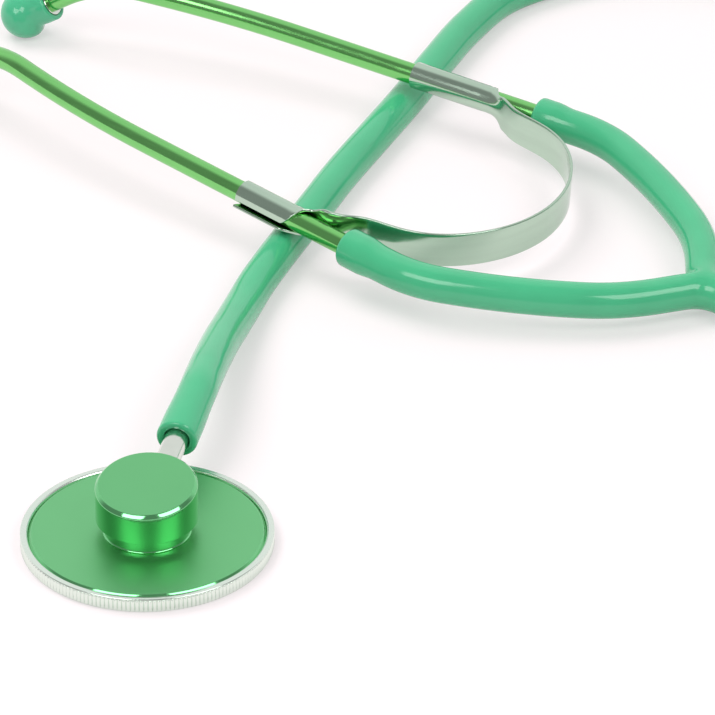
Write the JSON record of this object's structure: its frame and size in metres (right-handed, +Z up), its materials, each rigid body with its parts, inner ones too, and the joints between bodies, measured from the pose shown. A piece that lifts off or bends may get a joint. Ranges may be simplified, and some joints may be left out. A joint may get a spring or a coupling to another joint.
{
  "type": "toy stethoscope",
  "caption": "Toy stethoscope with a round flat chestpiece, a soft one-piece Y tube, a bowed leaf spring and two hooked ear tubes with soft tips.",
  "frame": {"origin": "centre of the chestpiece's contact face, on the table", "axes": "+Z up out of the table, +Y along the headset from the Y of the tubing towards the ear tips, +X towards the headset from the chestpiece"},
  "size_m": [0.2847, 0.2552, 0.0184],
  "materials": {
    "anodised_green": "green anodised, satin, finely turned",
    "plated_metal": "nickel plated, bright",
    "ring_metal": "bright turned and knurled",
    "film": "thin pale plastic film",
    "soft_tubing": "soft green vinyl, slightly translucent sheen",
    "spring_steel": "bright rolled strip",
    "ear_tube_green": "green lacquered metal tube, glossy",
    "soft_tip": "soft moulded vinyl"
  },
  "bodies": {
    "tubing": {"y_junction": "soft_tubing", "main_tube": "soft_tubing", "tube_cuff": "soft_tubing", "leaf_spring": "spring_steel", "arm_tube_left": "soft_tubing", "arm_tube_right": "soft_tubing"},
    "clip_left": {"spring_clip_left": "spring_steel"},
    "clip_right": {"spring_clip_right": "spring_steel"},
    "ear_tube_left": {"binaural_left": "ear_tube_green", "ferrule_left": "plated_metal"},
    "ear_tube_right": {"binaural_right": "ear_tube_green", "ferrule_right": "plated_metal"},
    "tip_left": {"ear_tip_left": "soft_tip"},
    "tip_right": {"ear_tip_right": "soft_tip"},
    "chestpiece": {"chest_body": "anodised_green", "stem": "plated_metal"},
    "film": {"diaphragm": "film"},
    "ring": {"retaining_ring": "ring_metal"}
  },
  "joints": [
    {"name": "left_spread", "type": "hinge", "parent": "tubing", "child": "clip_left", "pos_m": [0.1326, -0.00262, 0.00785], "axis": [0, -0.0698, 0.9976], "range_deg": [0, 25], "stiffness_Nm_per_rad": 0.15, "deforming": ["arm_tube_left", "leaf_spring"]},
    {"name": "right_spread", "type": "hinge", "parent": "tubing", "child": "clip_right", "pos_m": [0.1326, -0.00262, 0.00785], "axis": [0, 0.0698, -0.9976], "range_deg": [0, 25], "stiffness_Nm_per_rad": 0.15, "deforming": ["arm_tube_right", "leaf_spring"]},
    {"name": "left_twist", "type": "hinge", "parent": "clip_left", "child": "ear_tube_left", "pos_m": [0.09902, 0.02352, 0.00968], "axis": [0.1045, 0.9921, 0.0694], "range_deg": [-20, 20]},
    {"name": "right_twist", "type": "hinge", "parent": "clip_right", "child": "ear_tube_right", "pos_m": [0.16618, 0.02352, 0.00968], "axis": [0.1045, -0.9921, -0.0694], "range_deg": [-20, 20]},
    {"name": "left_tip_pull", "type": "slide", "parent": "ear_tube_left", "child": "tip_left", "axis": [0.1945, 0.8196, -0.539], "range_m": [0, 0.009]},
    {"name": "right_tip_pull", "type": "slide", "parent": "ear_tube_right", "child": "tip_right", "axis": [-0.1945, 0.8196, -0.539], "range_m": [0, 0.009]},
    {"name": "chestpiece_turn", "type": "hinge", "parent": "tubing", "child": "chestpiece", "pos_m": [0, 0, 0.008], "axis": [0.9285, 0.3564, 0.1045], "range_deg": [-90, 90]},
    {"name": "film_drop", "type": "slide", "parent": "chestpiece", "child": "film", "axis": [0, 0, -1], "range_m": [0, 0.0023]},
    {"name": "ring_unscrew", "type": "hinge", "parent": "film", "child": "ring", "pos_m": [0, 0, 0.0015], "axis": [0, 0, 1], "range_deg": [0, 1080]}
  ],
  "couplings": [
    {"joint": "right_spread", "follows": "left_spread", "ratio": 1},
    {"joint": "film_drop", "follows": "ring_unscrew", "m_per_rad": 0.00011937}
  ]
}
